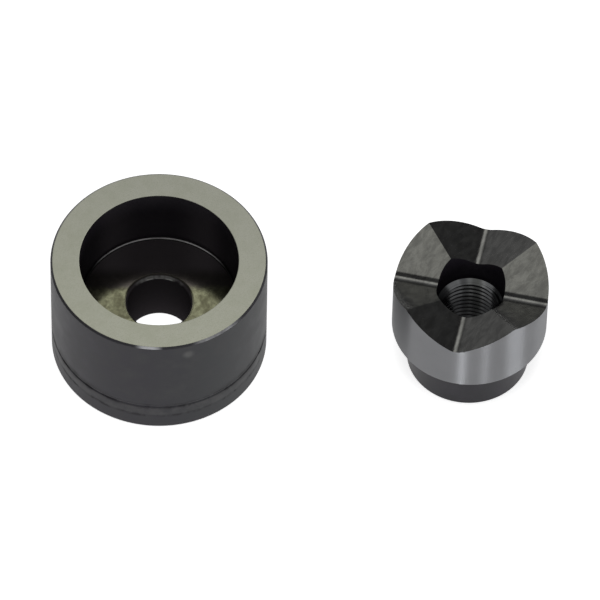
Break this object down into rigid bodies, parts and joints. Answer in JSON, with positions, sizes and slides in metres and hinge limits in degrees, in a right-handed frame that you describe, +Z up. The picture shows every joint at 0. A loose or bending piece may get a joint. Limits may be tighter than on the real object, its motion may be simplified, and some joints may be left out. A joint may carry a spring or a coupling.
{
  "type": "knockout punch and die",
  "caption": "Knockout punch and die pair: a crested shear punch threaded for a draw stud, and its cup-shaped die with a stud hole, to cut round holes in sheet metal.",
  "frame": {"origin": "middle of the base of the pair's bounding box, on the surface that both pieces stand on", "axes": "+X from the die to the punch, +Y to the back, +Z up along both pieces' own axes"},
  "size_m": [0.1588, 0.0692, 0.0434],
  "materials": {
    "die_steel": "black oxide, with the rim ground bright",
    "punch_steel": "ground bright on the head and its shear faces, black oxide on the neck"
  },
  "bodies": {
    "die": {"die": "die_steel"},
    "punch": {"punch": "punch_steel"}
  },
  "joints": [
    {"name": "punch_lift", "type": "slide", "parent": "die", "child": "punch", "axis": [0, 0, 1], "range_m": [0, 0.06]}
  ]
}
